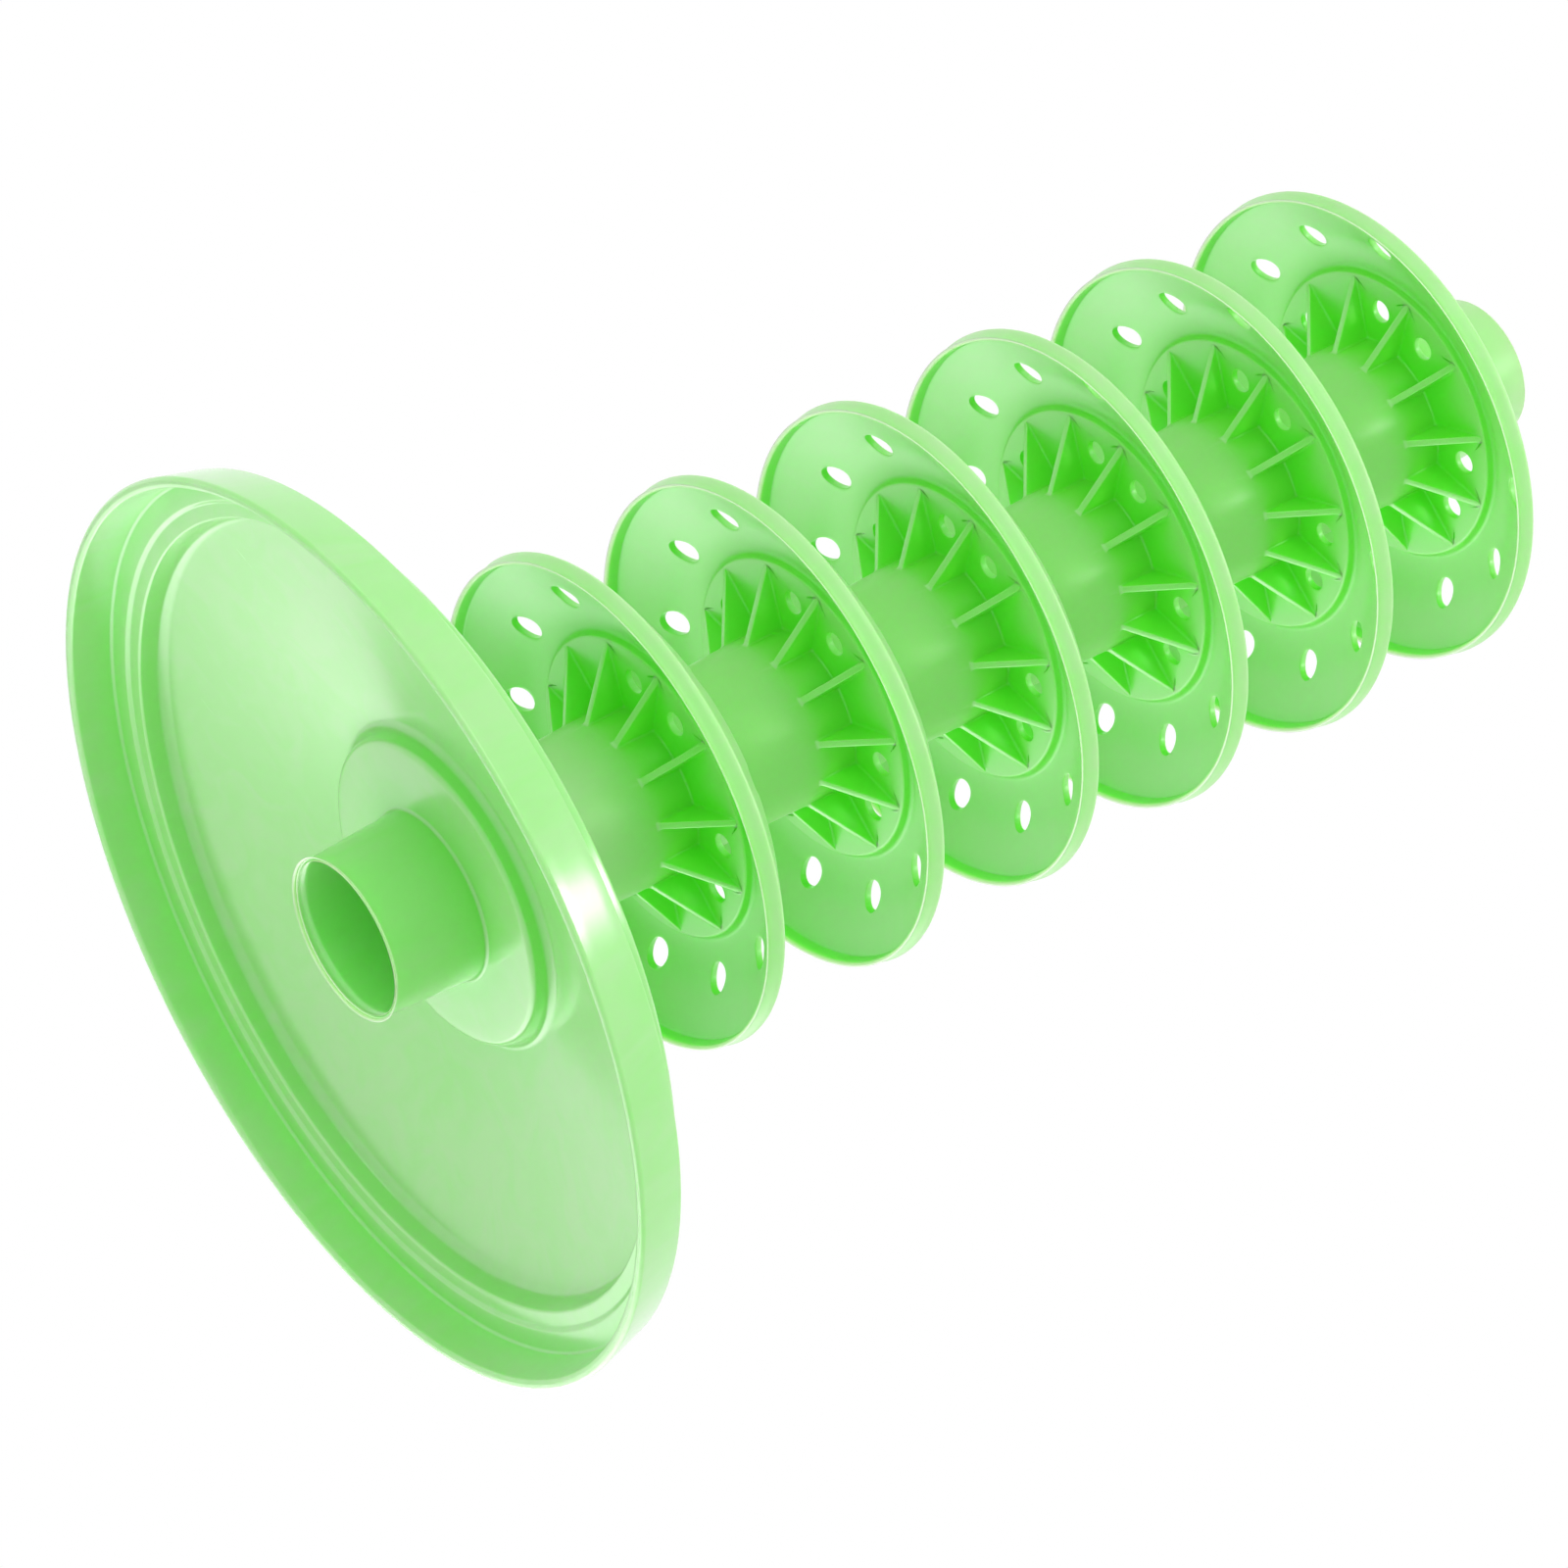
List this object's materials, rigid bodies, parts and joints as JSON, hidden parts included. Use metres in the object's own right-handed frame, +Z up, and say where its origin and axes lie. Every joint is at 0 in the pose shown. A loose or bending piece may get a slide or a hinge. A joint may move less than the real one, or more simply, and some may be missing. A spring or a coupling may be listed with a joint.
{
  "type": "tiered lollipop display stand",
  "caption": "Free-standing tower of dished plates on a hollow post and a wide round base; rings of holes in each plate hold sweets on sticks, and each plate turns on the one below.",
  "frame": {"origin": "centre of the circle on which the base's rim rests", "axes": "+Z up along the post; +X through a gusset of every tier"},
  "size_m": [0.216, 0.216, 0.3363],
  "materials": {
    "base_plastic": "glossy pale green moulded plastic, slightly translucent at thin edges",
    "tier_plastic": "satin green moulded plastic, slightly translucent at thin edges"
  },
  "bodies": {
    "base": {"base": "base_plastic"},
    "tier_1": {"tier_1": "tier_plastic"},
    "tier_2": {"tier_2": "tier_plastic"},
    "tier_3": {"tier_3": "tier_plastic"},
    "tier_4": {"tier_4": "tier_plastic"},
    "tier_5": {"tier_5": "tier_plastic"},
    "tier_6": {"tier_6": "tier_plastic"}
  },
  "joints": [
    {"name": "tier_1_turn", "type": "hinge", "parent": "base", "child": "tier_1", "pos_m": [0, 0, 0.0838], "axis": [0, 0, 1], "continuous": true},
    {"name": "tier_2_turn", "type": "hinge", "parent": "tier_1", "child": "tier_2", "pos_m": [0, 0, 0.1283], "axis": [0, 0, 1], "continuous": true},
    {"name": "tier_3_turn", "type": "hinge", "parent": "tier_2", "child": "tier_3", "pos_m": [0, 0, 0.1728], "axis": [0, 0, 1], "continuous": true},
    {"name": "tier_4_turn", "type": "hinge", "parent": "tier_3", "child": "tier_4", "pos_m": [0, 0, 0.2173], "axis": [0, 0, 1], "continuous": true},
    {"name": "tier_5_turn", "type": "hinge", "parent": "tier_4", "child": "tier_5", "pos_m": [0, 0, 0.2618], "axis": [0, 0, 1], "continuous": true},
    {"name": "tier_6_turn", "type": "hinge", "parent": "tier_5", "child": "tier_6", "pos_m": [0, 0, 0.3063], "axis": [0, 0, 1], "continuous": true}
  ]
}
